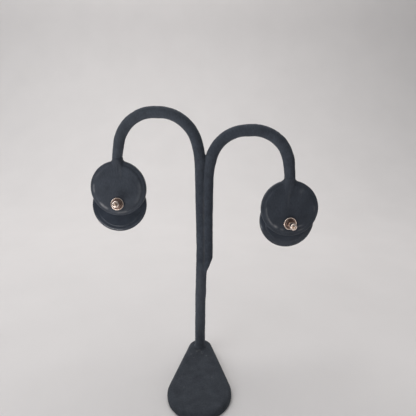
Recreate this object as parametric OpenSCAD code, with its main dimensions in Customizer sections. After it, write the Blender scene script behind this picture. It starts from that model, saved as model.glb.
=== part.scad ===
// A pair of round button earrings on a small two-arm display stand, seen from the back.
// Millimetres, +Z up. The origin is where the stem's axis meets the surface that the base lies on.
// -Y is the side with the earring backs, +Y the side with the button fronts.

/* [Base plate] */
// Thickness of the teardrop plate with its flock coat
base_t = 3.2; // [2.6:0.1:5]
// Radius of the rounded upper edge
base_edge_r = 2.0; // [0.6:0.1:2.2]
// Radius of the narrow end, round the stem
base_tip_r = 6.0; // [5.2:0.1:7]
// Radius of the round end's two corners
base_round_r = 12.9; // [10:0.1:15]
// How far each of those corners stands off the centre line
base_round_off = 0.65; // [0.2:0.05:3]
// Distance from the stem to the middle of the round end
base_reach = 27.5; // [24:0.1:34]

/* [Rods] */
// Radius of a rod with its flock coat
rod_r = 2.36; // [2.2:0.02:2.6]
// Radius of the bare wire where it enters a socket
wire_r = 1.35; // [1:0.05:1.5]
// Turn of the two arms' plane about the stem
arm_turn = 4.1; // [0:0.1:8]

/* [Long rod: stem and left arm] */
// Lean of the stem's foot to the right
stem_lean = 0.65; // [0:0.05:1.2]
// Length of the stem's foot, up to its first slight bend
stem_foot = 24.5; // [22:0.1:28]
// Length of the stem's middle, up to its second slight bend
stem_mid = 26.9; // [24:0.1:30]
// Length of the upper stem
stem_high = 38.8; // [36:0.1:42]
// Radius of the stem's first gentle bend
left_neck_r = 44.5; // [35:0.5:55]
// Radius of the arch's inner half
left_arch_in_r = 16.9; // [15:0.1:19]
// Radius of the arch's outer half
left_arch_out_r = 16.4; // [15:0.05:19]

/* [Short rod: right arm] */
// Length of the short rod that runs beside the stem
right_low = 30.3; // [26:0.1:32]
// Radius of its first gentle bend
right_neck_r = 53.6; // [45:0.1:60]
// Radius of the arch's inner half
right_arch_in_r = 16.05; // [14:0.05:18]
// Radius of the arch's outer half
right_arch_out_r = 16.0; // [14:0.05:18]

/* [Pads] */
// Diameter of a pad
pad_d = 25.2; // [24:0.1:27]
// Thickness of a pad
pad_t = 3.4; // [2.8:0.1:4]
// Width of the border round the raised middle of a pad's back
pad_rim = 1.9; // [1.6:0.1:2.6]
// Radius of the hole for an earring post
pad_hole_r = 1.0; // [0.9:0.05:1.2]
// Radius of the socket's top, which takes the arm's end
socket_r = 2.7; // [2.6:0.05:2.9]

/* [Buttons] */
// Diameter of a button
button_d = 25.2; // [24.5:0.1:26.4]
// Thickness of a button from back to crown
button_t = 6.4; // [5.4:0.1:8]
// Distance from the back to the widest point
button_girth = 2.2; // [1.8:0.1:2.6]
// Radius of the raised plate on the back
button_plate_r = 10.1; // [8.5:0.1:10.9]

/* [Posts and clutches] */
// Radius of a post
post_r = 0.45; // [0.35:0.01:0.45]
// Radius of the round foot on the button's back
foot_r = 2.0; // [1.5:0.1:2.2]
// Thickness of that foot
foot_t = 0.3; // [0.2:0.05:0.35]
// Radius of a clutch's flange
flange_r = 2.9; // [2.6:0.05:3]
// Radius of a clutch's barrel
barrel_r = 1.55; // [1.3:0.05:1.7]
// Length of a clutch from flange to end
clutch_l = 5.6; // [5:0.1:6]
// How far a post's tip stands out of its clutch
tip_out = 1.2; // [0.6:0.1:2]

/* [Hidden] */
$fn = 64;

gap = 0.05;              // between pieces that sit in or on each other
joint_bead = 0.02;       // a rod's joint balls are this much wider than the rod
joint_cut = 0.03;        // and its lines and arcs stop this far short inside them
tenon_l = 5.5;           // bare wire inside a pad's socket
seat_z = 1.0;            // the stem's bare foot ends this far above the underside
foot_s = -0.12;          // where the stem's foot stands in the plane of the arms
short_s = 3.66;          // where the short rod starts, beside the stem
short_z = 42.0;          // height of its lowest point
bevel_z = 51.2;          // its bevelled end starts here on the outside
bevel_a = 23;            // and runs inward at this angle to the rod
plate_step = 0.4;        // height of the raised plate on a button's back

// Each rod is a chain of pieces. Columns: kind, length or radius, turn in degrees (left is positive)
LINE = 0; ARC = 1; KINK = 2;
function kind(row) = row[0];
function size(row) = row[1];
function turn(row) = row[2];

long_rod = [
    [LINE, stem_foot, 0],
    [KINK, 0, -1.3],
    [LINE, stem_mid, 0],
    [KINK, 0, 2.6],
    [LINE, stem_high, 0],
    [ARC, left_neck_r, 14.8],
    [ARC, left_arch_in_r, 72.2],
    [LINE, 2.3, 0],
    [ARC, left_arch_out_r, 81.6],
    [LINE, 4.4, 0],
    [ARC, 13, 10.1 + stem_lean],
];
short_rod = [
    [LINE, right_low, 0],
    [KINK, 0, -0.95],
    [LINE, 14.4, 0],
    [ARC, right_neck_r, -11.05],
    [ARC, right_arch_in_r, -75.7],
    [LINE, 2.5, 0],
    [ARC, right_arch_out_r, -84.7],
    [LINE, 4.2, 0],
    [ARC, 18.6, -7.6],
];

// Where a chain ends: [s, z, heading], the heading in degrees from straight up towards +s
function step(p, row) =
    let (h = p[2], d = size(row), t = turn(row), g = t < 0 ? -1 : 1)
    kind(row) == LINE ? [p[0] + d * sin(h), p[1] + d * cos(h), h] :
    kind(row) == KINK ? [p[0], p[1], h - t] :
    [p[0] - g * d * (cos(h) - cos(h - t)), p[1] + g * d * (sin(h) - sin(h - t)), h - t];
function chain_end(rows, p, i = 0) = i == len(rows) ? p : chain_end(rows, step(p, rows[i]), i + 1);

left_end = chain_end(long_rod, [foot_s, base_t, stem_lean]);
right_end = chain_end(short_rod, [short_s, short_z, 0]);
// A point of the arms' plane in the part's frame
function in_plane(s, z) = [s * cos(arm_turn), -s * sin(arm_turn), z];

// The two pads. Columns: arm end, offset of the pad's centre from it (x, y, z), yaw and pitch of its back
// (yaw towards +X, pitch upwards), place of the post hole from the pad's centre (x, z)
pads = [
    [in_plane(left_end[0], left_end[1]), [-0.34, 0, -pad_d / 2 - 0.67], 0, 1, [-0.72, -7.21]],
    [in_plane(right_end[0], right_end[1]), [0.53, 0, -pad_d / 2 - 0.85], -2.5, 2, [0.04, -6.26]],
];
function pad_top(row) = row[0];
function pad_centre(row) = row[0] + row[1];
function pad_yaw(row) = row[2];
function pad_pitch(row) = row[3];
function hole_x(row) = row[4][0];
function hole_z(row) = row[4][1];

// The two earrings, each hung in its pad. Columns: pad, clutch flange's centre from the pad's centre,
// yaw and pitch of the post, centre of the button's back from the pad's centre, yaw and pitch of that back
earrings = [
    [pads[0], [-0.46, -pad_t / 2 - 0.67, -6.83], 7, 10, [-1.09, pad_t / 2 + 1, -8.4], 5, 10],
    [pads[1], [0.17, -pad_t / 2 - 0.7, -6.36], 3.5, -2.5, [0.4, pad_t / 2 + 1.15, -6.7], 2, 4.5],
];
function flange_at(row) = pad_centre(row[0]) + row[1];
function post_yaw(row) = row[2];
function post_pitch(row) = row[3];
function back_at(row) = pad_centre(row[0]) + row[4];
function back_yaw(row) = row[5];
function back_pitch(row) = row[6];

// Direction in which a back with this yaw and pitch looks
function look(yaw, pitch) = [sin(yaw) * cos(pitch), -cos(yaw) * cos(pitch), sin(pitch)];
// Distance from the flange along the post to the plane of the button's back
function reach(row) =
    let (n = look(back_yaw(row), back_pitch(row)), a = look(post_yaw(row), post_pitch(row)))
    ((flange_at(row) - back_at(row)) * n) / (a * n);

// Turns local +Z to the way a back looks, with local +Y up
module facing(yaw, pitch) {
    rotate([0, 0, yaw]) rotate([90 - pitch, 0, 0]) children();
}

// Quarter arc of a profile, as points from angle a0 to a1, with its own radius across (rx) and along (rz)
function bend(cx, cz, rx, rz, a0, a1, n = 6) =
    [for (i = [0 : n]) let (a = a0 + (a1 - a0) * i / n) [cx + rx * cos(a), cz + rz * sin(a)]];

module lens(r, t, e) {
    rotate_extrude() polygon(concat([[0, 0], [r, 0]], bend(r - e, t - e, e, e, 0, 90, 5), [[0, t]]));
}

module stand_base() {
    color([0.16, 0.17, 0.19])
    difference() {
        hull() {
            lens(base_tip_r, base_t, base_edge_r);
            for (x = [-1, 1]) translate([x * base_round_off + 0.3, -base_reach, 0])
                lens(base_round_r, base_t, base_edge_r);
        }
        translate(in_plane(foot_s, seat_z - gap)) cylinder(r = wire_r + gap, h = base_t);
    }
}

// One rod, drawn from the current point along local +Z, turning in the local XZ plane. A ball a hair
// wider than the rod closes each joint between its lines and arcs.
module rod(rows, r, i = 0) {
    if (i < len(rows)) {
        row = rows[i];
        d = size(row);
        g = turn(row) < 0 ? -1 : 1;
        t = abs(turn(row));
        short = kind(row) == ARC ? joint_cut / d * 180 / PI : joint_cut;
        if (i > 0) sphere(r = r + joint_bead);
        if (kind(row) == LINE) {
            translate([0, 0, i > 0 ? short : 0]) cylinder(r = r, h = d - (i > 0 ? 2 : 1) * short);
            translate([0, 0, d]) rod(rows, r, i + 1);
        } else if (kind(row) == KINK) {
            rotate([0, -turn(row), 0]) rod(rows, r, i + 1);
        } else {
            translate([-g * d, 0, 0]) mirror([g < 0 ? 1 : 0, 0, 0]) rotate([90, 0, 0])
                rotate([0, 0, short]) rotate_extrude(angle = t - 2 * short) translate([d, 0]) circle(r = r);
            translate([-g * d * (1 - cos(t)), 0, d * sin(t)]) rotate([0, -turn(row), 0]) rod(rows, r, i + 1);
        }
    }
}

module stand_arms() {
    color([0.14, 0.15, 0.17])
    rotate([0, 0, -arm_turn])
    union() {
        translate([foot_s, 0, base_t + gap]) rotate([0, stem_lean, 0]) {
            rod(long_rod, rod_r);
        }
        translate([foot_s, 0, seat_z]) cylinder(r = wire_r, h = base_t);
        difference() {
            translate([short_s, 0, short_z]) rod(short_rod, rod_r);
            translate([short_s + rod_r, 0, bevel_z]) rotate([0, bevel_a, 0])
                translate([0, -10, -30]) cube([20, 20, 30]);
        }
        for (e = [left_end, right_end])
            translate([e[0], 0, e[1] - tenon_l]) cylinder(r = wire_r, h = tenon_l + 0.5);
    }
}

// A pad about its own centre, its back looking along +Z
module pad_disc() {
    r = pad_d / 2;
    h = pad_t / 2;
    mid_r = r - pad_rim;
    rotate_extrude()
        polygon(concat(
            [[0, -h]],
            bend(r - 0.9, -h + 0.9, 0.9, 0.9, -90, 0, 5),
            bend(r - 0.6, h - 1.1, 0.6, 0.6, 8, 80, 4),
            [[mid_r + 0.35, h - 0.4], [mid_r + 0.1, h - 0.12], [mid_r - 0.2, h], [0, h]]));
}

module pad(row) {
    top = pad_top(row);
    c = pad_centre(row);
    difference() {
        union() {
            translate(c) facing(pad_yaw(row), pad_pitch(row)) pad_disc();
            // the socket: a short collar round the arm's end, then a taper that fades into the disc
            translate(top) rotate_extrude()
                polygon([[0, -9.6], [1.0, -9.6], [1.95, -5.6], [2.45, -3.2], [socket_r, -1.35], [rod_r, -gap], [0, -gap]]);
        }
        translate([top[0], top[1], top[2] - tenon_l - gap]) cylinder(r = wire_r + gap, h = tenon_l + 5);
        translate(c) facing(pad_yaw(row), pad_pitch(row))
            translate([hole_x(row), hole_z(row), -pad_t]) cylinder(r = pad_hole_r, h = 2 * pad_t);
    }
}

module pad_left() { color([0.13, 0.14, 0.16]) pad(pads[0]); }
module pad_right() { color([0.13, 0.14, 0.16]) pad(pads[1]); }

// A button with the face of its raised back plate at z = 0, its crown at -button_t
module button_form() {
    r = button_d / 2;
    crown = button_t - button_girth - 1.0;             // height of the crown's cap
    cap_r = r - 0.8;                                   // its half width
    ball = (cap_r * cap_r + crown * crown) / (2 * crown);
    lip = asin(cap_r / ball);
    rotate_extrude()
        polygon(concat(
            [[0, -button_t]],
            [for (i = [1 : 9]) let (a = lip * i / 9) [ball * sin(a), -button_t + ball - ball * cos(a)]],
            bend(r - 0.8, -button_girth, 0.8, 0.9, -65, 0, 4),
            bend(r - 0.85, -button_girth, 0.85, button_girth - plate_step - 0.2, 12, 90, 6),
            [[button_plate_r + 0.1, -plate_step], [0, -plate_step]]));
    rotate_extrude()
        polygon([[0, -plate_step - 0.5], [button_plate_r, -plate_step - 0.5], [button_plate_r, -0.15],
                 [button_plate_r - 0.15, 0], [0, 0]]);
}

module button(row) {
    translate(back_at(row)) facing(back_yaw(row), back_pitch(row)) translate([0, 0, -gap]) button_form();
}

module button_left() { color([0.05, 0.05, 0.06]) button(earrings[0]); }
module button_right() { color([0.05, 0.05, 0.06]) button(earrings[1]); }

// A post with its round foot: the foot lies flat on the button's back, the post runs through pad and clutch
module post(row) {
    l = reach(row);
    n = look(post_yaw(row), post_pitch(row));
    root = flange_at(row) - l * n;
    translate(root) {
        facing(back_yaw(row), back_pitch(row)) {
            cylinder(r = foot_r, h = foot_t * 0.6);
            translate([0, 0, foot_t * 0.6]) cylinder(r1 = foot_r, r2 = foot_r - 0.15, h = foot_t * 0.4);
        }
        facing(post_yaw(row), post_pitch(row)) {
            translate([0, 0, foot_t * 0.5]) cylinder(r = post_r, h = l + clutch_l + tip_out - post_r - foot_t * 0.5);
            translate([0, 0, l + clutch_l + tip_out - post_r]) sphere(r = post_r);
        }
    }
}

module post_left() { color([0.85, 0.66, 0.5]) post(earrings[0]); }
module post_right() { color([0.85, 0.66, 0.5]) post(earrings[1]); }

// A bullet clutch: flange with a rolled rim at z = 0, a slight waist, then the barrel with a rounded end
module clutch_form() {
    bead = 0.32;
    hole = post_r + gap;
    end_r = 0.5;
    rotate_extrude() {
        translate([flange_r - bead, bead]) circle(r = bead, $fn = 32);
        polygon([[hole, 0.12], [flange_r - bead, 0.12], [flange_r - bead, 0.42], [barrel_r - 0.1, 0.42],
                 [hole, 0.42]]);
        polygon(concat(
            [[hole, 0.4], [barrel_r - 0.12, 0.4], [barrel_r - 0.15, 1.0], [barrel_r, 1.35]],
            bend(barrel_r - end_r, clutch_l - end_r, end_r, end_r, 0, 90, 5),
            [[hole + 0.2, clutch_l], [hole, clutch_l - 0.2]]));
    }
}

module clutch(row) {
    translate(flange_at(row)) facing(post_yaw(row), post_pitch(row)) clutch_form();
}

module clutch_left() { color([0.87, 0.68, 0.52]) clutch(earrings[0]); }
module clutch_right() { color([0.87, 0.68, 0.52]) clutch(earrings[1]); }

stand_base();
stand_arms();
pad_left();
pad_right();
button_left();
button_right();
post_left();
post_right();
clutch_left();
clutch_right();
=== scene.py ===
# Pair of button earrings on a two-arm display stand: the looks.
# Lengths in the tables are millimetres in the part's frame; meshes are scaled to metres when they are made.
import math

import bpy
import bmesh
import numpy as np
from mathutils import Vector, Matrix


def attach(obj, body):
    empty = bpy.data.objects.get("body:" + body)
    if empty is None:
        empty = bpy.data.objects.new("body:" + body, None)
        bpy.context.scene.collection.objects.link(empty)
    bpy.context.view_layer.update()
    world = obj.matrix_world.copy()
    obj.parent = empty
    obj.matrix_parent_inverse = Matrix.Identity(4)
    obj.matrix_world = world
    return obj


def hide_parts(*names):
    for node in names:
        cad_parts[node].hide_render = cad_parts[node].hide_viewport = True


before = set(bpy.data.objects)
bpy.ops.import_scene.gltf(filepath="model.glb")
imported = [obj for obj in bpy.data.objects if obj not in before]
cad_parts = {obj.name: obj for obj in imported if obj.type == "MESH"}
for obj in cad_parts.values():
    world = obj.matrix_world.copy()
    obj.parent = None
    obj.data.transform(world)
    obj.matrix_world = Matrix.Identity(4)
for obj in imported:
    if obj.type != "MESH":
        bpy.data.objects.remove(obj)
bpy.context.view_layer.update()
MM = 0.001

# ---------------------------------------------------------------- sizes, as in the part's source
ROD_R = 2.36
ARM_TURN = math.radians(4.1)
BASE_T, BASE_EDGE, BASE_TIP_R, BASE_ROUND_R, BASE_REACH, BASE_OFF = 3.2, 2.0, 6.0, 12.9, 27.5, 0.65
PAD_R, PAD_T, PAD_RIM = 12.6, 3.4, 1.9
SOCKET_R, HOLE_R = 2.7, 1.0
BUTTON_R, BUTTON_T, GIRTH, PLATE_R = 12.6, 6.4, 2.2, 10.1
POST_R, FOOT_R, FOOT_T = 0.45, 2.0, 0.3
FLANGE_R, BARREL_R, CLUTCH_L, TIP_OUT = 2.9, 1.55, 5.6, 1.2
GAP = 0.05

LINE, ARC, KINK = 0, 1, 2
STEM_LEAN = 0.65
# columns: kind, length or radius, turn in degrees
LONG_ROD = [(LINE, 24.5, 0), (KINK, 0, -1.3), (LINE, 26.9, 0), (KINK, 0, 2.6), (LINE, 38.8, 0), (ARC, 44.5, 14.8),
            (ARC, 16.9, 72.2), (LINE, 2.3, 0), (ARC, 16.4, 81.6), (LINE, 4.4, 0), (ARC, 13, 10.1 + STEM_LEAN)]
SHORT_ROD = [(LINE, 30.3, 0), (KINK, 0, -0.95), (LINE, 14.4, 0), (ARC, 53.6, -11.05), (ARC, 16.05, -75.7),
             (LINE, 2.5, 0), (ARC, 16.0, -84.7), (LINE, 4.2, 0), (ARC, 18.6, -7.6)]
LONG_START, SHORT_START = (-0.12, BASE_T + GAP, STEM_LEAN), (3.66, 42.0, 0.0)
BEVEL_Z, BEVEL_A = 51.2, 23.0


# ---------------------------------------------------------------- small tools
def lattice(ix, iy, iz, seed):
    """A fixed random number from 0 to 1 for each lattice point."""
    h = (ix * 374761393 + iy * 668265263 + iz * 2147483647 + seed * 1274126177) & 0xFFFFFFFF
    h = ((h ^ (h >> 13)) * 1274126177) & 0xFFFFFFFF
    h = (h ^ (h >> 16)) & 0xFFFFFFFF
    return h.astype(np.float64) / 4294967295.0


def noise3(p, size, seed):
    """Smooth noise from -1 to 1 at the points p, with features of the given size."""
    q = np.asarray(p, float) / size + 1000.0
    i = np.floor(q).astype(np.int64)
    f = q - i
    f = f * f * f * (f * (f * 6 - 15) + 10)
    out = np.zeros(len(q))
    for dx in (0, 1):
        wx = f[:, 0] if dx else 1 - f[:, 0]
        for dy in (0, 1):
            wy = f[:, 1] if dy else 1 - f[:, 1]
            for dz in (0, 1):
                wz = f[:, 2] if dz else 1 - f[:, 2]
                out += wx * wy * wz * lattice(i[:, 0] + dx, i[:, 1] + dy, i[:, 2] + dz, seed)
    return out * 2 - 1


def new_object(name, verts, faces, smooth=True):
    """A mesh object from points in millimetres."""
    me = bpy.data.meshes.new(name)
    me.from_pydata([tuple(v) for v in verts], [], [tuple(f) for f in faces])
    me.validate()
    bm = bmesh.new()
    bm.from_mesh(me)
    bmesh.ops.recalc_face_normals(bm, faces=bm.faces)
    bm.to_mesh(me)
    bm.free()
    ob = bpy.data.objects.new(name, me)
    bpy.context.scene.collection.objects.link(ob)
    if smooth:
        me.polygons.foreach_set("use_smooth", [True] * len(me.polygons))
    return ob


def coords(ob):
    a = np.zeros(len(ob.data.vertices) * 3)
    ob.data.vertices.foreach_get("co", a)
    return a.reshape(-1, 3)


def normals(ob):
    a = np.zeros(len(ob.data.vertices) * 3)
    ob.data.vertex_normals.foreach_get("vector", a)
    return a.reshape(-1, 3)


def set_coords(ob, p):
    ob.data.vertices.foreach_set("co", np.asarray(p, np.float32).ravel())
    ob.data.update()


def mark(ob, name, values):
    """A value from 0 to 1 at each vertex, for the material."""
    at = ob.data.attributes.new(name, "FLOAT", "POINT")
    at.data.foreach_set("value", np.clip(np.asarray(values, np.float32), 0, 1))


def skin(ob, voxel, rounds):
    """One closed skin round everything in ob, softened by a few rounds of smoothing."""
    m = ob.modifiers.new("skin", "REMESH")
    m.mode = "VOXEL"
    m.voxel_size = voxel
    m.adaptivity = 0
    s = ob.modifiers.new("soften", "SMOOTH")
    s.factor = 0.5
    s.iterations = rounds
    me = bpy.data.meshes.new_from_object(ob.evaluated_get(bpy.context.evaluated_depsgraph_get()))
    ob.modifiers.clear()
    old = ob.data
    ob.data = me
    bpy.data.meshes.remove(old)
    me.polygons.foreach_set("use_smooth", [True] * len(me.polygons))
    return ob


def finish_piece(ob, material, nodes):
    """From millimetres to metres, with its material, riding on the one body in place of its CAD nodes."""
    p = coords(ob) * MM
    set_coords(ob, p)
    ob.data.materials.clear()
    ob.data.materials.append(material)
    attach(ob, "root")
    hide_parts(*nodes)
    return ob


def ring_stack(rings, close=True):
    """Faces between rings of equal count, with a fan over each end."""
    n = len(rings[0])
    verts = [v for r in rings for v in r]
    faces = []
    for k in range(len(rings) - 1):
        a, b = k * n, (k + 1) * n
        for i in range(n):
            j = (i + 1) % n
            faces.append((a + i, a + j, b + j, b + i))
    if close:
        verts.append(tuple(np.mean(rings[0], axis=0)))
        c = len(verts) - 1
        faces += [(c, (i + 1) % n, i) for i in range(n)]
        verts.append(tuple(np.mean(rings[-1], axis=0)))
        c = len(verts) - 1
        b = (len(rings) - 1) * n
        faces += [(c, b + i, b + (i + 1) % n) for i in range(n)]
    return verts, faces


def turned(name, profile, n):
    """A turned solid about local Z from a profile of (radius, height) that starts and ends on the axis, or is a closed loop."""
    prof = list(profile)
    on_axis = prof[0][0] < 1e-9 and prof[-1][0] < 1e-9
    a = np.linspace(0, 2 * math.pi, n, endpoint=False)
    ca, sa = np.cos(a), np.sin(a)
    verts, faces = [], []
    body = prof[1:-1] if on_axis else prof
    for r, z in body:
        verts += [(r * c, r * s, z) for c, s in zip(ca, sa)]
    rows = len(body)
    for k in range(rows - 1 if on_axis else rows):
        p, q = k * n, ((k + 1) % rows) * n
        for i in range(n):
            j = (i + 1) % n
            faces.append((p + i, p + j, q + j, q + i))
    if on_axis:
        verts.append((0, 0, prof[0][1]))
        c = len(verts) - 1
        faces += [(c, (i + 1) % n, i) for i in range(n)]
        verts.append((0, 0, prof[-1][1]))
        c = len(verts) - 1
        p = (rows - 1) * n
        faces += [(c, p + i, p + (i + 1) % n) for i in range(n)]
    return new_object(name, verts, faces)


def arc_points(cx, cz, rx, rz, a0, a1, n):
    return [(cx + rx * math.cos(math.radians(a0 + (a1 - a0) * i / n)),
             cz + rz * math.sin(math.radians(a0 + (a1 - a0) * i / n))) for i in range(n + 1)]


def between(p, q, n):
    """Points from p to q, both left out."""
    return [(p[0] + (q[0] - p[0]) * i / n, p[1] + (q[1] - p[1]) * i / n) for i in range(1, n)]


def facing(yaw, pitch):
    """Turns local +Z to the way a back looks (towards -Y), with local +Y up."""
    return Matrix.Rotation(math.radians(yaw), 4, "Z") @ Matrix.Rotation(math.radians(90 - pitch), 4, "X")


def place(ob, matrix):
    ob.data.transform(matrix)
    ob.data.update()
    return ob


def joined(name, obs):
    """One object from several, by their meshes."""
    bm = bmesh.new()
    for o in obs:
        bm.from_mesh(o.data)
    me = bpy.data.meshes.new(name)
    bm.to_mesh(me)
    bm.free()
    for o in obs:
        m = o.data
        bpy.data.objects.remove(o)
        bpy.data.meshes.remove(m)
    ob = bpy.data.objects.new(name, me)
    bpy.context.scene.collection.objects.link(ob)
    return ob


# ---------------------------------------------------------------- centrelines of the two rods
def chain(rows, start, step=0.35):
    """Points (s, z, heading, distance) along a rod."""
    s, z, h = start
    out = [(s, z, h, 0.0)]
    d = 0.0
    for kind, size, turn in rows:
        if kind == KINK:
            h -= turn
            continue
        length = size if kind == LINE else size * math.radians(abs(turn))
        n = max(2, int(math.ceil(length / step)))
        for _ in range(n):
            if kind == LINE:
                s += size / n * math.sin(math.radians(h))
                z += size / n * math.cos(math.radians(h))
            else:
                t = turn / n
                g = -1 if t < 0 else 1
                s -= g * size * (math.cos(math.radians(h)) - math.cos(math.radians(h - t)))
                z += g * size * (math.sin(math.radians(h)) - math.sin(math.radians(h - t)))
                h -= t
            d += length / n
            out.append((s, z, h, d))
    return np.array(out)


def in_plane(s, z, y=0.0):
    c, k = math.cos(ARM_TURN), math.sin(ARM_TURN)
    return np.stack([s * c + y * k, -s * k + y * c, z], -1)


LONG_LINE = chain(LONG_ROD, LONG_START)
SHORT_LINE = chain(SHORT_ROD, SHORT_START)
LEFT_END = in_plane(LONG_LINE[-1, 0], LONG_LINE[-1, 1])
RIGHT_END = in_plane(SHORT_LINE[-1, 0], SHORT_LINE[-1, 1])

# columns: arm end, offset of the pad's centre, yaw and pitch of its back, post hole (x, z)
PADS = {"left": (LEFT_END, (-0.34, 0.0, -13.27), 0.0, 1.0, (-0.72, -7.21)),
        "right": (RIGHT_END, (0.53, 0.0, -13.45), -2.5, 2.0, (0.04, -6.26))}
# columns: flange's centre from the pad's centre, yaw and pitch of the post, button's back from the pad's centre, yaw and pitch
EARRINGS = {"left": ((-0.46, -2.37, -6.83), 7.0, 10.0, (-1.09, 2.7, -8.4), 5.0, 10.0),
            "right": ((0.17, -2.4, -6.36), 3.5, -2.5, (0.4, 2.85, -6.7), 2.0, 4.5)}


# ---------------------------------------------------------------- materials
def node_tree(name):
    m = bpy.data.materials.new(name)
    m.use_nodes = True
    t = m.node_tree
    t.nodes.clear()
    out = t.nodes.new("ShaderNodeOutputMaterial")
    b = t.nodes.new("ShaderNodeBsdfPrincipled")
    t.links.new(b.outputs["BSDF"], out.inputs["Surface"])
    return m, t, b


def noise_node(t, scale, detail=3.0, rough=0.55, stretch=None):
    tc = t.nodes.new("ShaderNodeTexCoord")
    src = tc.outputs["Object"]
    if stretch is not None:
        mp = t.nodes.new("ShaderNodeMapping")
        mp.inputs["Scale"].default_value = stretch
        t.links.new(src, mp.inputs["Vector"])
        src = mp.outputs["Vector"]
    n = t.nodes.new("ShaderNodeTexNoise")
    n.inputs["Scale"].default_value = scale
    n.inputs["Detail"].default_value = detail
    n.inputs["Roughness"].default_value = rough
    t.links.new(src, n.inputs["Vector"])
    return n


def ramp(t, src, stops):
    r = t.nodes.new("ShaderNodeValToRGB")
    el = r.color_ramp.elements
    el[0].position, el[0].color = stops[0][0], (*stops[0][1], 1)
    el[1].position, el[1].color = stops[-1][0], (*stops[-1][1], 1)
    for pos, col in stops[1:-1]:
        e = el.new(pos)
        e.color = (*col, 1)
    t.links.new(src, r.inputs["Fac"])
    return r


def mixed(t, a, b, fac, mode="MIX"):
    m = t.nodes.new("ShaderNodeMix")
    m.data_type = "RGBA"
    m.blend_type = mode
    for sock, val in ((m.inputs[6], a), (m.inputs[7], b)):
        if isinstance(val, tuple):
            sock.default_value = (*val, 1)
        else:
            t.links.new(val, sock)
    if isinstance(fac, float):
        m.inputs[0].default_value = fac
    else:
        t.links.new(fac, m.inputs[0])
    return m.outputs[2]


def spread(t, src, lo, hi, f0=0.3, f1=0.7):
    """A noise value from f0..f1 taken to lo..hi."""
    m = t.nodes.new("ShaderNodeMapRange")
    m.inputs["From Min"].default_value = f0
    m.inputs["From Max"].default_value = f1
    m.inputs["To Min"].default_value = lo
    m.inputs["To Max"].default_value = hi
    t.links.new(src, m.inputs["Value"])
    return m.outputs["Result"]


def marked(t, name):
    a = t.nodes.new("ShaderNodeAttribute")
    a.attribute_type = "GEOMETRY"
    a.attribute_name = name
    return a.outputs["Fac"]


def bump(t, b, layers):
    """Bump layers of (height output, distance in metres, strength), one on the other."""
    last = None
    for h, dist, strength in layers:
        n = t.nodes.new("ShaderNodeBump")
        n.inputs["Distance"].default_value = dist
        n.inputs["Strength"].default_value = strength
        t.links.new(h, n.inputs["Height"])
        if last is not None:
            t.links.new(last, n.inputs["Normal"])
        last = n.outputs["Normal"]
    t.links.new(last, b.inputs["Normal"])


def flock(name, dark, light, dust_and_light_tone, stretch, worn_lint_and_highlit):
    """Short dense fibre: dull, mottled, with a faint bloom at grazing angles, paler where it is marked with dust and
    painted light, and greyed where it is marked as worn, partly a painted highlight."""
    m, t, b = node_tree(name)
    patch = noise_node(t, 260, 2.0, 0.5)
    clump = noise_node(t, 1500, 3.0, 0.6, stretch)
    fibre = noise_node(t, 7000, 2.0, 0.6, stretch)
    base = mixed(t, dark, light, spread(t, patch.outputs["Fac"], 0.0, 1.0))
    tone = ramp(t, clump.outputs["Fac"], [(0.25, (0.72, 0.72, 0.72)), (0.5, (1, 1, 1)), (0.75, (1.22, 1.22, 1.22))])
    base = mixed(t, base, tone.outputs["Color"], 1.0, "MULTIPLY")
    speck = ramp(t, fibre.outputs["Fac"], [(0.62, (0, 0, 0)), (0.74, (1, 1, 1))])
    base = mixed(t, base, dust_and_light_tone, spread(t, speck.outputs["Color"], 0.0, 0.30, 0.0, 1.0))
    base = mixed(t, base, dust_and_light_tone, marked(t, "dust_and_light"))
    base = mixed(t, base, worn_lint_and_highlit, marked(t, "wear_lint_and_highlight"))
    t.links.new(base, b.inputs["Base Color"])
    t.links.new(spread(t, clump.outputs["Fac"], 0.86, 1.0), b.inputs["Roughness"])
    b.inputs["Specular IOR Level"].default_value = 0.18
    b.inputs["Sheen Weight"].default_value = 0.07
    b.inputs["Sheen Roughness"].default_value = 0.45
    b.inputs["Sheen Tint"].default_value = (0.75, 0.82, 0.9, 1)
    bump(t, b, [(clump.outputs["Fac"], 0.00016, 0.55), (fibre.outputs["Fac"], 0.00006, 0.7)])
    return m


def satin(name, dark, light, worn_lint_and_highlit):
    """Pressed black velour on the pads: a short nap, smoother and greyer along the marked places, rubbed nap with
    painted highlights on it.
    """
    m, t, b = node_tree(name)
    patch = noise_node(t, 180, 3.0, 0.55)
    nap = noise_node(t, 2600, 3.0, 0.6, (1.0, 1.0, 0.35))
    base = mixed(t, dark, light, spread(t, patch.outputs["Fac"], 0.0, 1.0))
    tone = ramp(t, nap.outputs["Fac"], [(0.3, (0.84, 0.84, 0.84)), (0.7, (1.12, 1.12, 1.12))])
    base = mixed(t, base, tone.outputs["Color"], 1.0, "MULTIPLY")
    fibre = noise_node(t, 9000, 2.0, 0.6, (1.0, 1.0, 0.6))
    speck = ramp(t, fibre.outputs["Fac"], [(0.66, (0, 0, 0)), (0.78, (1, 1, 1))])
    base = mixed(t, base, (0.13, 0.14, 0.16), spread(t, speck.outputs["Color"], 0.0, 0.30, 0.0, 1.0))
    wear_lint_and_highlight = marked(t, "wear_lint_and_highlight")
    # the marked places are greyed: rubbed nap and painted highlights
    base = mixed(t, base, worn_lint_and_highlit, wear_lint_and_highlight)
    t.links.new(base, b.inputs["Base Color"])
    t.links.new(spread(t, wear_lint_and_highlight, 0.60, 0.30, 0.0, 0.8), b.inputs["Roughness"])
    b.inputs["Specular IOR Level"].default_value = 0.28
    b.inputs["Sheen Weight"].default_value = 0.06
    b.inputs["Sheen Roughness"].default_value = 0.4
    b.inputs["Sheen Tint"].default_value = (0.8, 0.85, 0.9, 1)
    bump(t, b, [(patch.outputs["Fac"], 0.0002, 0.30), (nap.outputs["Fac"], 0.00006, 0.5), (fibre.outputs["Fac"], 0.00004, 0.5)])
    return m


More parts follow.
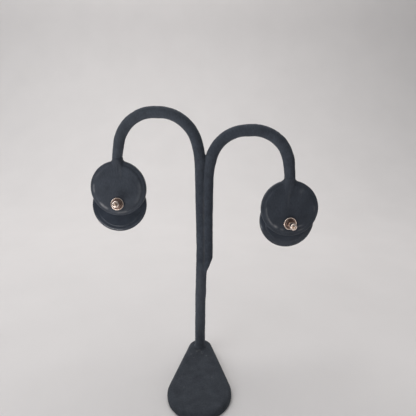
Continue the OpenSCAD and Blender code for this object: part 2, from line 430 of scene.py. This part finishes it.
def lacquer(name, colour, worn_lint_and_highlit):
    """Glossy black button with slight handling haze and hairline marks, greyed along its marked rim: worn lacquer with
    a painted highlight.
    """
    m, t, b = node_tree(name)
    haze = noise_node(t, 140, 4.0, 0.6)
    swirl = noise_node(t, 900, 2.0, 0.5, (1.0, 0.25, 1.6))
    base = mixed(t, colour, tuple(c * 1.5 for c in colour), spread(t, haze.outputs["Fac"], 0.0, 1.0))
    base = mixed(t, base, worn_lint_and_highlit, marked(t, "wear_lint_and_highlight"))
    t.links.new(base, b.inputs["Base Color"])
    t.links.new(spread(t, haze.outputs["Fac"], 0.08, 0.16), b.inputs["Roughness"])
    b.inputs["Specular IOR Level"].default_value = 0.26
    b.inputs["Coat Weight"].default_value = 0.20
    b.inputs["Coat Roughness"].default_value = 0.05
    bump(t, b, [(swirl.outputs["Fac"], 0.00003, 0.12)])
    return m


def rose_gold(name, deep, bright, rough0, rough1):
    """Plated rose gold, polished, a little tarnished, with painted shade darkening its marked hollows, and fine turning
    marks.
    """
    m, t, b = node_tree(name)
    tarnish = noise_node(t, 1100, 3.0, 0.6)
    marks = noise_node(t, 5200, 2.0, 0.5)
    base = mixed(t, deep, bright, spread(t, tarnish.outputs["Fac"], 0.0, 1.0))
    hollow_shade = marked(t, "hollow_shade")
    # painted shade in the marked hollows
    base = mixed(t, base, tuple(c * k for c, k in zip(deep, (0.28, 0.25, 0.25))), hollow_shade)
    t.links.new(base, b.inputs["Base Color"])
    b.inputs["Metallic"].default_value = 1.0
    rough = spread(t, tarnish.outputs["Fac"], rough1, rough0)
    add = t.nodes.new("ShaderNodeMath")
    add.operation = "MULTIPLY_ADD"
    add.inputs[1].default_value = 0.18
    t.links.new(hollow_shade, add.inputs[0])
    t.links.new(rough, add.inputs[2])
    t.links.new(add.outputs[0], b.inputs["Roughness"])
    bump(t, b, [(marks.outputs["Fac"], 0.00002, 0.12)])
    return m


M_BASE = flock("flock_base", (0.035, 0.040, 0.049), (0.050, 0.056, 0.068), (0.15, 0.165, 0.18), None, (0.16, 0.165, 0.17))
M_ARMS = flock("flock_arms", (0.044, 0.051, 0.066), (0.060, 0.070, 0.088), (0.16, 0.175, 0.195), (1.0, 1.0, 0.5), (0.115, 0.112, 0.110))
M_PAD = satin("pad_satin", (0.038, 0.045, 0.059), (0.053, 0.062, 0.080), (0.25, 0.25, 0.26))
M_BUTTON = lacquer("button_gloss", (0.036, 0.043, 0.057), (0.32, 0.32, 0.33))
M_CLUTCH = rose_gold("clutch_gold", (0.88, 0.69, 0.59), (0.98, 0.86, 0.77), 0.17, 0.27)
M_POST = rose_gold("post_gold", (0.62, 0.46, 0.35), (0.88, 0.72, 0.60), 0.14, 0.26)


# ---------------------------------------------------------------- the rods
# Places where the flock lies thicker or thinner. Columns: rod, distance along it, spread of the place,
# angle round the rod (0 = the arch's outside or the stem's right, 90 = the back), amount
LONG_LUMPS = [(16.0, 3.2, 0, 0.10), (31.0, 5.0, 0, 0.17), (43.0, 3.0, 0, 0.18), (50.0, 3.0, 180, 0.10),
              (22.0, 4.0, 150, -0.06), (120.0, 9.0, 180, -0.08), (140.0, 9.0, 180, -0.16), (155.0, 8.0, 180, -0.18),
              (148.0, 10.0, 0, -0.10), (124.1, 2.6, 0, 0.12)]
SHORT_LUMPS = [(92.5, 2.0, 180, 0.17), (96.0, 1.2, 180, 0.07), (56.0, 4.0, 0, 0.16), (64.0, 6.0, 0, 0.05),
               (80.0, 5.0, 90, 0.06), (77.5, 2.6, 0, 0.10)]


def rod_mesh(name, line, lumps, seed, n=44, stop=None):
    """A swept tube whose flock thickness wanders a little."""
    s, z, h, d = line.T
    if stop is not None:
        keep = d <= stop
        s, z, h, d = s[keep], z[keep], h[keep], d[keep]
    h = np.convolve(np.pad(np.radians(h), 3, mode="edge"), np.ones(7) / 7, mode="valid")
    a = np.linspace(0, 2 * math.pi, n, endpoint=False)
    rings = []
    for i in range(len(s)):
        r = np.full(n, ROD_R)
        for at, wide, angle, amount in lumps:
            k = math.exp(-((d[i] - at) / wide) ** 2) * amount
            if abs(k) > 1e-4:
                r += k * np.clip(np.cos(a - math.radians(angle)), 0, 1)
        side = np.cos(a) * r
        back = np.sin(a) * r
        x = s[i] + side * math.cos(h[i])
        zz = z[i] - side * math.sin(h[i])
        rings.append(np.stack([x, -back, zz], -1))
    v, f = ring_stack([list(map(tuple, r)) for r in rings])
    return new_object(name, v, f)


long_rod = rod_mesh("long_rod", LONG_LINE, LONG_LUMPS, 1)
short_rod = rod_mesh("short_rod", SHORT_LINE, SHORT_LUMPS, 2)

# the short rod's slanted lower end: everything below the slanted plane is folded up onto it
p = coords(short_rod)
slope = math.tan(math.radians(90 - BEVEL_A))
edge = SHORT_START[0] + ROD_R
cut_z = BEVEL_Z - (edge - p[:, 0]) * slope
low = (p[:, 2] < np.maximum(cut_z, SHORT_START[1])) & (p[:, 2] < BEVEL_Z + 0.1)
p[low, 2] = np.maximum(cut_z, SHORT_START[1])[low]
set_coords(short_rod, p)

# flock in the crease between the rods
mid = []
for zc in np.arange(47.5, 91.0, 0.5):
    sl = np.interp(zc, LONG_LINE[:260, 1], LONG_LINE[:260, 0])
    ss = np.interp(zc, SHORT_LINE[:140, 1], SHORT_LINE[:140, 0])
    near = max(0.0, 1 - max(0.0, zc - 78.0) / 13.0)
    mid.append(((sl + ss) / 2, zc, 1.35 + 0.42 * near))
a = np.linspace(0, 2 * math.pi, 24, endpoint=False)
rings = [[(c[0] + c[2] * math.cos(t), c[2] * math.sin(t), c[1]) for t in a] for c in mid]
filler = new_object("filler", *ring_stack(rings))

arms = joined("arms_flock", [long_rod, short_rod, filler])
skin(arms, 0.30, 7)
p, nrm = coords(arms), normals(arms)
lump = 0.050 * noise3(p, 2.6, 11) + 0.032 * noise3(p, 1.1, 12) + 0.020 * noise3(p, 0.6, 13)
# the flock's loose fibres stand a little proud, less so where it runs into the pads' sockets
ends = [np.linalg.norm(p - np.array([line[-1, 0], 0.0, line[-1, 1]]), axis=1) for line in (LONG_LINE, SHORT_LINE)]
loose = 0.15 * np.clip((np.minimum(*ends) - 3.0) / 5.0, 0, 1)
p = p + nrm * (0.035 + loose + lump)[:, None]
# a soft foot where the flock runs out over the base
foot = np.clip((BASE_T + 1.3 - p[:, 2]) / 1.3, 0, 1) ** 2
cx, cy = LONG_START[0], 0.0
out = p[:, :2] - np.array([cx, cy])
p[:, :2] += out / np.maximum(np.linalg.norm(out, axis=1), 1e-6)[:, None] * (foot * 0.55)[:, None]
p[:, 2] = np.maximum(p[:, 2], BASE_T - 0.02)
set_coords(arms, p)
# a paler line down the crease where the rods run side by side
line = np.array([(c[0], c[1]) for c in mid])
crease = np.interp(p[:, 2], line[:, 1], line[:, 0])
along = np.clip((p[:, 2] - 46.5) / 3.0, 0, 1) * np.clip((91.0 - p[:, 2]) / 14.0, 0, 1)
wear_lint_and_highlight = 0.5 * np.exp(-((p[:, 0] - crease + 0.1) / 0.33) ** 2) * along * (0.7 + 0.5 * noise3(p, 1.6, 14))
# the lower stem's back gets a paler band down its middle in uneven upright streaks, a painted highlight, with some lint
# on it
stem_s = np.interp(p[:, 2], LONG_LINE[:260, 1], LONG_LINE[:260, 0])
low = np.clip((p[:, 2] - 4.0) / 4.0, 0, 1) * np.clip((50.0 - p[:, 2]) / 10.0, 0, 1) * (p[:, 1] < 0)
streak = np.exp(-((p[:, 0] - stem_s + 0.35) / 0.8) ** 2) * (0.6 + 0.7 * noise3(p * np.array([3.0, 1.0, 0.3]), 1.5, 15))
lint = np.clip((noise3(p, 0.55, 16) - 0.62) / 0.15, 0, 1)
wear_lint_and_highlight = np.maximum(wear_lint_and_highlight, low * np.clip(0.26 * streak + 0.3 * lint * (streak > 0.3), 0, 1))
mark(arms, "wear_lint_and_highlight", wear_lint_and_highlight)
# the flock is paler low on the stem, over the higher arch and outside the stretch where the rods run side by side:
# painted light, brighter towards the left and low down, with a little dust
dust_and_light = (0.07 * (1 - np.clip((p[:, 2] - 44.0) / 6.0, 0, 1) * np.clip((93.0 - p[:, 2]) / 10.0, 0, 1))
        + 0.20 * np.clip((50.0 - p[:, 2]) / 14.0, 0, 1) + 0.08 * np.clip((-p[:, 0] - 5.0) / 6.0, 0, 1))
mark(arms, "dust_and_light", dust_and_light * (1 + 0.3 * noise3(p, 4.0, 17)))
place(arms, Matrix.Rotation(-ARM_TURN, 4, "Z"))
finish_piece(arms, M_ARMS, ["stand_arms"])


# ---------------------------------------------------------------- the base
# Lint on the base. Columns: x, y, size, strength
LINT = [(-1.6, -4.4, 0.55, 0.45), (0.7, -5.0, 0.40, 0.55), (1.0, -6.1, 0.35, 0.5), (3.1, -7.6, 0.30, 0.8), (-0.4, -3.6, 0.7, 0.35),
        (-4.4, -6.6, 0.28, 0.5), (-2.8, -9.0, 0.25, 0.35), (5.6, -21.5, 0.3, 0.3), (-6.2, -27.0, 0.28, 0.3)]


def base_piece():
    bm = bmesh.new()
    for cx, cy, r in ((0.0, 0.0, BASE_TIP_R), (0.3 - BASE_OFF, -BASE_REACH, BASE_ROUND_R), (0.3 + BASE_OFF, -BASE_REACH, BASE_ROUND_R)):
        prof = [(r, 0.0)] + arc_points(r - BASE_EDGE, BASE_T - BASE_EDGE, BASE_EDGE, BASE_EDGE, 0, 90, 8)
        for rr, zz in prof:
            for k in range(96):
                t = 2 * math.pi * k / 96
                bm.verts.new((cx + rr * math.cos(t), cy + rr * math.sin(t), zz))
    bmesh.ops.convex_hull(bm, input=bm.verts)
    me = bpy.data.meshes.new("base_flock")
    bm.to_mesh(me)
    bm.free()
    ob = bpy.data.objects.new("base_flock", me)
    bpy.context.scene.collection.objects.link(ob)
    skin(ob, 0.34, 6)
    p, nrm = coords(ob), normals(ob)
    lump = 0.045 * noise3(p, 3.4, 21) + 0.030 * noise3(p, 1.2, 22) + 0.018 * noise3(p, 0.6, 23)
    p = p + nrm * (0.03 + lump)[:, None]
    under = p[:, 2] < 0.25
    p[under, 2] = np.maximum(p[under, 2] * 0.2, 0.0)
    set_coords(ob, p)
    # lint round the stem's foot
    wear_lint_and_highlight = np.zeros(len(p))
    for x, y, size, much in LINT:
        wear_lint_and_highlight = np.maximum(wear_lint_and_highlight, much * np.exp(-((p[:, 0] - x) ** 2 + (p[:, 1] - y) ** 2) / size ** 2))
    mark(ob, "wear_lint_and_highlight", wear_lint_and_highlight * (p[:, 2] > 2.0))
    mark(ob, "dust_and_light", 0.03 + 0.03 * noise3(p, 5.0, 24))
    return finish_piece(ob, M_BASE, ["stand_base"])


base_piece()


# ---------------------------------------------------------------- the pads
# Shallow upright creases in a pad's cover. Columns: place across, lean, top, bottom, half width, height
CREASES = {"left": [(0.3, 0.02, 11.6, 4.6, 0.26, 0.07), (2.3, 0.0, 11.4, 5.4, 0.28, 0.06), (-2.0, 0.0, 11.4, 6.0, 0.3, 0.05)],
           "right": [(-0.6, -0.03, 11.8, 0.8, 0.26, 0.07), (1.6, -0.06, 11.6, 5.2, 0.28, 0.05), (4.9, 0.0, 10.6, 1.5, 0.3, 0.05)]}
# Arcs where the raised edge is rubbed, greyed with a painted highlight. Columns: from, to (degrees), radius, half
# width, strength
RUBBED_AND_HIGHLIT = {"left": [(170, 188, 10.95, 0.42, 0.66), (218, 240, 10.60, 0.62, 0.72), (263, 288, 11.05, 0.42, 0.42), (-40, 14, 10.1, 0.8, 0.14)],
          "right": [(178, 204, 10.3, 0.30, 0.42), (204, 226, 10.3, 0.36, 0.8), (228, 239, 10.0, 0.50, 1.0), (249, 255, 9.9, 0.40, 0.8),
                    (-4, 8, 10.7, 0.4, 0.25)]}
# Paler dabs and streaks on the nap, painted highlights along the ridge and the border. Columns: across, up, half
# length, half width, lean (degrees), strength
HIGHLIT_DABS = {"left": [(-8.6, 6.4, 2.2, 0.5, 40, 0.12), (1.6, 8.4, 2.6, 0.5, 90, 0.10)],
           "right": [(4.8, 8.2, 1.3, 0.8, 60, 0.22), (-0.6, 6.0, 4.6, 0.35, 88, 0.12), (4.7, -7.7, 1.2, 0.35, 20, 0.42), (5.4, -9.4, 1.3, 0.32, 25, 0.34)]}


def on_back(p, side):
    """Places on a pad's back: across, up, radius, angle, and 1 on the back or 0 on the front."""
    end, off, yaw, pitch, hole = PADS[side]
    turn = np.array((Matrix.Translation(Vector(np.array(end) + np.array(off))) @ facing(yaw, pitch)).inverted())
    q = p @ turn[:3, :3].T + turn[:3, 3]
    u, v = q[:, 0], q[:, 1]
    return u, v, np.hypot(u, v), np.degrees(np.arctan2(v, u)) % 360, np.clip((q[:, 2] - PAD_T / 2 + 1.1) / 0.5, 0, 1)


def pad_piece(side, seed):
    end, off, yaw, pitch, hole = PADS[side]
    centre = np.array(end) + np.array(off)
    r, h, mid_r = PAD_R, PAD_T / 2, PAD_R - PAD_RIM
    prof = ([(0.0, -h)] + [(x, -h) for x in np.linspace(0, r - 0.9, 24)[1:-1]] + arc_points(r - 0.9, -h + 0.9, 0.9, 0.9, -90, 0, 8)
            + arc_points(r - 0.6, h - 1.1, 0.6, 0.6, 8, 80, 6)
            + [(mid_r + 0.9, h - 0.46), (mid_r + 0.50, h - 0.42), (mid_r + 0.30, h - 0.33), (mid_r + 0.10, h - 0.18), (mid_r - 0.10, h - 0.08),
               (mid_r - 0.40, h - 0.02)]
            + [(x, h) for x in np.linspace(mid_r - 0.8, 0, 22)[:-1]] + [(0.0, h)])
    disc = turned("disc", prof, 200)
    place(disc, Matrix.Translation(Vector(centre)) @ facing(yaw, pitch))
    # the socket: a sleeve round the arm's end that flattens into a low, fading ridge on the disc, and the web at the
    # disc's edge that rounds the corner between the two. Columns of the sleeve: height, half width, how far it stands
    # proud of the disc's face, squareness of its section. Columns of the web: height, half width, half depth
    sleeve = [(0.9, 2.30, 0.92, 2.0), (0.4, 2.38, 0.98, 2.0), (-0.3, 2.46, 0.98, 2.0), (-1.0, 2.50, 0.80, 2.3), (-2.0, 2.50, 0.52, 2.8),
              (-3.0, 2.48, 0.34, 3.4), (-4.2, 2.44, 0.22, 4.0), (-5.6, 2.38, 0.14, 4.0), (-7.0, 2.30, 0.07, 4.0), (-8.4, 2.1, -0.02, 4.0),
              (-9.6, 1.6, -0.2, 3.0)]
    web = [(0.25, 2.2, 1.0), (-0.15, 2.46, 1.15), (-0.55, 2.70, 1.25), (-0.90, 3.05, 1.30), (-1.20, 3.55, 1.30), (-2.6, 4.2, 1.20), (-4.0, 3.0, 0.9)]
    t = np.linspace(0, 2 * math.pi, 72, endpoint=False)
    parts = [disc]
    tilt = math.sin(math.radians(pitch))
    rings = []
    for z, rx, proud, e in sleeve:
        ry = h - (z - off[2]) * tilt - off[1] + proud
        rings.append([(rx * math.copysign(abs(math.cos(k)) ** (2 / e), math.cos(k)),
                       ry * math.copysign(abs(math.sin(k)) ** (2 / e), math.sin(k)), z) for k in t])
    for name, rings in (("sleeve", rings), ("web", [[(rx * math.cos(k), ry * math.sin(k), z) for k in t] for z, rx, ry in web])):
        o = new_object(name, *ring_stack(rings))
        place(o, Matrix.Translation(Vector(end)))
        parts.append(o)
    ob = joined("pad_" + side + "_satin", parts)
    skin(ob, 0.17, 5)
    p, nrm = coords(ob), normals(ob)
    lump = 0.030 * noise3(p, 3.0, seed) + 0.012 * noise3(p, 1.0, seed + 1) + 0.005 * noise3(p, 0.5, seed + 2)
    u, v, rad, ang, back = on_back(p, side)
    for u0, lean, top, low, wide, high in CREASES[side]:
        run = np.clip((top - v) / 0.8, 0, 1) * np.clip((v - low) / 2.5, 0, 1)
        lump += high * np.exp(-((u - u0 - lean * (v - low)) / wide) ** 2) * run * back
    p = p + nrm * (0.015 + lump)[:, None]
    set_coords(ob, p)
    return ob, centre, (yaw, pitch, hole)


def pad_wear_and_highlights(ob, side, seed):
    """Marks the rubbed arcs with their painted highlights, and the painted highlight dabs, on the pad's back."""
    p = coords(ob)
    u, v, rad, ang, back = on_back(p, side)
    wear_lint_and_highlight = np.zeros(len(p))
    # arcs of rubbed nap with a painted highlight along the raised edge
    for a0, a1, rr, wide, much in RUBBED_AND_HIGHLIT[side]:
        d = np.abs((ang - (a0 + a1) / 2 + 180) % 360 - 180)
        run = np.clip(((a1 - a0) / 2 + 4 - d) / 8, 0, 1)
        wear_lint_and_highlight = np.maximum(wear_lint_and_highlight, much * run * np.exp(-((rad - rr) / wide) ** 2))
    # paler dabs: painted highlights on the ridge and the border
    for u0, v0, long, wide, lean, much in HIGHLIT_DABS[side]:
        c, k = math.cos(math.radians(lean)), math.sin(math.radians(lean))
        a, b = (u - u0) * c + (v - v0) * k, (v - v0) * c - (u - u0) * k
        wear_lint_and_highlight = np.maximum(wear_lint_and_highlight, much * np.exp(-(a / long) ** 2 - (b / wide) ** 2))
    mark(ob, "wear_lint_and_highlight", wear_lint_and_highlight * back * (0.85 + 0.3 * noise3(p, 0.9, seed)))


def keep_largest(me):
    """Welds coincident points, and drops flat folded slivers and anything loose beside the one closed surface."""
    bm = bmesh.new()
    bm.from_mesh(me)
    bmesh.ops.remove_doubles(bm, verts=bm.verts[:], dist=0.004)
    bmesh.ops.dissolve_degenerate(bm, edges=bm.edges[:], dist=0.004)
    bmesh.ops.triangulate(bm, faces=bm.faces[:])
    same = {}
    for f in bm.faces:
        same.setdefault(frozenset(f.verts), []).append(f)
    bmesh.ops.delete(bm, geom=[f for fs in same.values() if len(fs) > 1 for f in fs], context="FACES")
    seen, islands = set(), []
    for start in bm.faces:
        if start in seen:
            continue
        seen.add(start)
        island, front = [start], [start]
        while front:
            for e in front.pop().edges:
                for f in e.link_faces:
                    if f not in seen:
                        seen.add(f)
                        island.append(f)
                        front.append(f)
        islands.append(island)
    islands.sort(key=len, reverse=True)
    bmesh.ops.delete(bm, geom=[f for island in islands[1:] for f in island], context="FACES")
    bm.to_mesh(me)
    bm.free()
    me.update()


def drill(ob, centre, spec):
    """The post's hole, cut through the pad."""
    yaw, pitch, hole = spec
    a = np.linspace(0, 2 * math.pi, 40, endpoint=False)
    rings = [[(hole[0] + HOLE_R * math.cos(t), hole[1] + HOLE_R * math.sin(t), z) for t in a] for z in (-3.0, 3.0)]
    cutter = new_object("cutter", *ring_stack(rings))
    place(cutter, Matrix.Translation(Vector(centre)) @ facing(yaw, pitch))
    m = ob.modifiers.new("hole", "BOOLEAN")
    m.operation = "DIFFERENCE"
    m.solver = "EXACT"
    m.object = cutter
    me = bpy.data.meshes.new_from_object(ob.evaluated_get(bpy.context.evaluated_depsgraph_get()))
    ob.modifiers.clear()
    old = ob.data
    ob.data = me
    bpy.data.meshes.remove(old)
    keep_largest(me)
    me.polygons.foreach_set("use_smooth", [True] * len(me.polygons))
    bpy.data.objects.remove(cutter)


for side, seed in (("left", 31), ("right", 41)):
    ob, centre, spec = pad_piece(side, seed)
    drill(ob, centre, spec)
    pad_wear_and_highlights(ob, side, seed + 3)
    finish_piece(ob, M_PAD, ["pad_" + side])


# ---------------------------------------------------------------- the buttons
# Arcs where a button's rim is greyed: worn lacquer with a painted highlight on the crest. Columns: from, to (degrees),
# radius, half width, strength
EDGE_WEAR_AND_HIGHLIGHT = {"left": [(232, 270, 11.85, 0.22, 0.22), (300, 318, 11.9, 0.16, 0.12)],
             "right": [(232, 250, 11.8, 0.22, 0.12), (284, 300, 11.8, 0.16, 0.12)]}


def button_piece(side):
    off, yaw, pitch = EARRINGS[side][3:]
    end, poff = PADS[side][:2]
    at = np.array(end) + np.array(poff) + np.array(off)
    r = BUTTON_R + 0.08
    crown = BUTTON_T - GIRTH - 1.0
    cap_r = r - 0.8
    ball = (cap_r ** 2 + crown ** 2) / (2 * crown)
    lip = math.degrees(math.asin(cap_r / ball))
    prof = [(0.0, -BUTTON_T)]
    for i in range(1, 31):
        t = math.radians(lip * i / 30)
        prof.append((ball * math.sin(t), -BUTTON_T + ball - ball * math.cos(t)))
    prof += arc_points(r - 0.8, -GIRTH, 0.8, 0.9, -65, 0, 8)
    # the rim's steep side, its rounded crest, the nearly flat shoulder, then the crisp edge of the raised back plate
    prof += arc_points(r - 0.30, -GIRTH + 0.1, 0.30, 1.05, 6, 75, 12)
    prof += [(r - 0.29, -1.025), (r - 0.36, -0.978), (r - 0.43, -0.932), (r - 0.50, -0.890), (r - 0.57, -0.853), (r - 0.64, -0.819),
             (r - 0.71, -0.789), (r - 0.78, -0.763), (r - 0.85, -0.739), (r - 0.92, -0.717), (r - 1.06, -0.682), (r - 1.22, -0.654),
             (r - 1.45, -0.626), (r - 1.75, -0.600), (PLATE_R + 0.45, -0.575), (PLATE_R + 0.18, -0.540), (PLATE_R + 0.08, -0.49)]
    prof += arc_points(PLATE_R - 0.14, -0.14, 0.16, 0.14, 0, 90, 5)
    prof += [(x, 0.0) for x in np.linspace(PLATE_R - 0.5, 0, 16)[:-1]] + [(0.0, 0.0)]
    ob = turned("button_" + side + "_gloss", prof, 240)
    p = coords(ob)
    rad, ang = np.hypot(p[:, 0], p[:, 1]), np.degrees(np.arctan2(p[:, 1], p[:, 0])) % 360
    wear_lint_and_highlight = np.zeros(len(p))
    # the rim's marked arcs are greyed: worn lacquer with a painted highlight along the crest
    for a0, a1, rr, wide, much in EDGE_WEAR_AND_HIGHLIGHT[side]:
        run = np.clip(((a1 - a0) / 2 + 5 - np.abs(ang - (a0 + a1) / 2)) / 12, 0, 1)
        wear_lint_and_highlight = np.maximum(wear_lint_and_highlight, much * run * np.exp(-((rad - rr) / wide) ** 2))
    mark(ob, "wear_lint_and_highlight", wear_lint_and_highlight * (p[:, 2] > -1.7) * (0.8 + 0.5 * noise3(p, 1.2, 51)))
    place(ob,Matrix.Translation(Vector(at)) @ facing(yaw, pitch) @ Matrix.Translation(Vector((0, 0, -GAP))))
    return finish_piece(ob, M_BUTTON, ["button_" + side])


# ---------------------------------------------------------------- posts and clutches
def look(yaw, pitch):
    y, p = math.radians(yaw), math.radians(pitch)
    return np.array([math.sin(y) * math.cos(p), -math.cos(y) * math.cos(p), math.sin(p)])


def earring_places(side):
    foff, py, pp, boff, by, bp = EARRINGS[side]
    end, poff = PADS[side][:2]
    centre = np.array(end) + np.array(poff)
    flange, back = centre + np.array(foff), centre + np.array(boff)
    n, a = look(by, bp), look(py, pp)
    reach = float((flange - back) @ n) / float(a @ n)
    return flange, reach, a, (py, pp), (by, bp)


def post_piece(side):
    flange, reach, a, post, back = earring_places(side)
    root = flange - reach * a
    top = reach + CLUTCH_L + TIP_OUT
    foot = turned("foot", [(0.0, 0.0), (1.2, 0.0), (FOOT_R - 0.06, 0.0), (FOOT_R, 0.05), (FOOT_R, FOOT_T * 0.55), (FOOT_R - 0.08, FOOT_T * 0.85),
                           (FOOT_R - 0.25, FOOT_T), (1.1, FOOT_T + 0.02), (0.8, FOOT_T + 0.08), (POST_R, FOOT_T + 0.35), (POST_R, FOOT_T + 0.9), (0.0, FOOT_T + 0.9)], 64)
    place(foot, Matrix.Translation(Vector(root)) @ facing(*back))
    prof = [(0.0, FOOT_T * 0.5), (POST_R, FOOT_T * 0.5)] + [(POST_R, z) for z in np.linspace(0.6, top - 1.35, 14)]
    # friction notch near the end, then the rounded tip
    prof += [(POST_R, top - 1.02), (POST_R - 0.08, top - 0.94), (POST_R - 0.08, top - 0.82), (POST_R - 0.01, top - 0.72)]
    prof += arc_points(0, top - POST_R, POST_R, POST_R, 0, 90, 8)[:-1] + [(0.0, top)]
    pin = turned("pin", prof, 48)
    place(pin, Matrix.Translation(Vector(root)) @ facing(*post))
    m = foot.modifiers.new("weld", "BOOLEAN")
    m.operation = "UNION"
    m.solver = "EXACT"
    m.object = pin
    me = bpy.data.meshes.new_from_object(foot.evaluated_get(bpy.context.evaluated_depsgraph_get()))
    bpy.data.objects.remove(pin)
    bpy.data.objects.remove(foot)
    me.polygons.foreach_set("use_smooth", [True] * len(me.polygons))
    ob = bpy.data.objects.new("post_" + side + "_gold", me)
    bpy.context.scene.collection.objects.link(ob)
    mark(ob, "hollow_shade", np.zeros(len(me.vertices)))
    return finish_piece(ob, M_POST, ["post_" + side])


def clutch_piece(side):
    flange, reach, a, post, back = earring_places(side)
    bead, hole, end_r = 0.32, POST_R + GAP, 0.75
    rim = FLANGE_R - bead
    prof = [(hole, 0.16), (hole + 0.5, 0.12), (rim - 0.25, 0.12)]
    prof += arc_points(rim, bead, bead, bead, -115, 165, 22)
    prof += [(rim - 0.36, 0.30), (rim - 0.46, 0.24), (BARREL_R + 0.40, 0.22), (BARREL_R + 0.14, 0.26), (BARREL_R - 0.02, 0.42),
             (BARREL_R - 0.12, 0.68), (BARREL_R - 0.16, 0.90), (BARREL_R - 0.14, 1.12), (BARREL_R - 0.05, 1.30), (BARREL_R, 1.50)]
    prof += [(BARREL_R, z) for z in np.linspace(1.9, CLUTCH_L - end_r - 0.15, 7)]
    prof += arc_points(BARREL_R - end_r, CLUTCH_L - end_r, end_r, end_r, 0, 90, 9)
    prof += [(hole + 0.16, CLUTCH_L - 0.005), (hole + 0.08, CLUTCH_L - 0.03), (hole + 0.02, CLUTCH_L - 0.08), (hole, CLUTCH_L - 0.16)]
    prof += [(hole, z) for z in np.linspace(CLUTCH_L - 0.8, 0.6, 6)]
    ob = turned("clutch_" + side + "_gold", prof, 112)
    p = coords(ob)
    rr, zz = np.hypot(p[:, 0], p[:, 1]), p[:, 2]
    # painted shade: the recessed web round the barrel and the bore are darkened
    groove = (zz > 0.15) * np.clip((rim - 0.12 - rr) / 0.2, 0, 1) * np.clip((1.35 - zz) / 0.3, 0, 1) * (rr > hole + 0.2)
    bore = np.clip((hole + 0.04 - rr) / 0.03, 0, 1)
    mark(ob, "hollow_shade", np.maximum(groove * (0.88 if side == "left" else 1.0), bore))
    place(ob, Matrix.Translation(Vector(flange)) @ facing(*post))
    return finish_piece(ob, M_CLUTCH, ["clutch_" + side])


for side in ("left", "right"):
    button_piece(side)
    post_piece(side)
    clutch_piece(side)


# ---------------------------------------------------------------- floor, backdrop, light, camera
def plain(name, colour, rough, mottle):
    m, t, b = node_tree(name)
    n = noise_node(t, 22, 3.0, 0.5)
    f = noise_node(t, 900, 2.0, 0.5)
    base = mixed(t, colour, tuple(c * (1 - mottle) for c in colour), spread(t, n.outputs["Fac"], 0.0, 1.0))
    t.links.new(base, b.inputs["Base Color"])
    b.inputs["Roughness"].default_value = rough
    b.inputs["Specular IOR Level"].default_value = 0.2
    bump(t, b, [(f.outputs["Fac"], 0.0002, 0.15)])
    return m


M_FLOOR = plain("floor_pale", (0.765, 0.741, 0.736), 0.9, 0.03)


def sweep():
    """A pale floor that turns up into the backdrop behind the stand in one soft curve."""
    start, radius, top, half = 0.17, 0.30, 1.5, 1.7
    prof = [(y, 0.0) for y in (-0.34, -0.25, -0.1, 0.05)] + [(start + radius * math.sin(t), radius - radius * math.cos(t))
            for t in np.linspace(0, math.pi / 2, 25)] + [(start + radius, z) for z in (0.5, 0.9, top)]
    xs = np.linspace(-half, half, 9)
    verts = [(x, y, z) for y, z in prof for x in xs]
    n = len(xs)
    faces = [(i * n + j, i * n + j + 1, (i + 1) * n + j + 1, (i + 1) * n + j) for i in range(len(prof) - 1) for j in range(n - 1)]
    ob = new_object("floor", [(x, y, z) for x, y, z in verts], faces)
    ob.data.materials.append(M_FLOOR)


sweep()


def area(name, at, to, size, power, colour=(1, 1, 1)):
    l = bpy.data.lights.new(name, "AREA")
    l.shape = "RECTANGLE"
    l.size, l.size_y = size
    l.energy = power
    l.color = colour
    o = bpy.data.objects.new(name, l)
    bpy.context.scene.collection.objects.link(o)
    o.location = at
    o.rotation_euler = (Vector(to) - Vector(at)).to_track_quat("-Z", "Y").to_euler()
    o.visible_camera = False
    return o


area("softbox", (-0.06, 0.30, 0.70), (-0.04, 0.24, 0.0), (0.7, 0.5), 3.4, (1.0, 0.985, 0.965))
area("window", (-0.60, -0.38, 0.50), (0.0, 0.0, 0.06), (0.62, 0.62), 1.85, (0.95, 0.975, 1.0))
area("card", (-0.100, -0.088, 0.012), (-0.100, -0.0881, 1.0), (0.12, 0.05), 0.11, (0.97, 0.985, 1.0))
# a soft room: bright above and behind, dimmer on the camera's side
world = bpy.data.worlds.new("room")
bpy.context.scene.world = world
world.use_nodes = True
wt = world.node_tree
bg = wt.nodes["Background"]
tc = wt.nodes.new("ShaderNodeTexCoord")
sep = wt.nodes.new("ShaderNodeSeparateXYZ")
wt.links.new(tc.outputs["Generated"], sep.inputs[0])
level = wt.nodes.new("ShaderNodeMath")
level.operation = "MULTIPLY_ADD"
level.inputs[1].default_value = 0.6
wt.links.new(sep.outputs["Z"], level.inputs[0])
wt.links.new(sep.outputs["Y"], level.inputs[2])
fade = wt.nodes.new("ShaderNodeMapRange")
fade.interpolation_type = "SMOOTHSTEP"
fade.inputs["From Min"].default_value = -0.9
fade.inputs["From Max"].default_value = 0.9
fade.inputs["To Min"].default_value = 0.17
fade.inputs["To Max"].default_value = 0.44
wt.links.new(level.outputs[0], fade.inputs["Value"])
bg.inputs["Color"].default_value = (0.96, 0.98, 1.0, 1)
wt.links.new(fade.outputs["Result"], bg.inputs["Strength"])

cam = bpy.data.cameras.new("camera")
cam.sensor_width = 36.0
cam.lens = 36.0 * 313.0 / 416.0
cam.clip_start, cam.clip_end = 0.005, 20.0
cam_ob = bpy.data.objects.new("camera", cam)
bpy.context.scene.collection.objects.link(cam_ob)
cam_ob.location = (0.00396, -0.13903, 0.1085)
cam_ob.rotation_euler = (math.radians(90 - 13.45), 0, 0)
bpy.context.scene.camera = cam_ob
bpy.context.scene.view_settings.view_transform = "Standard"
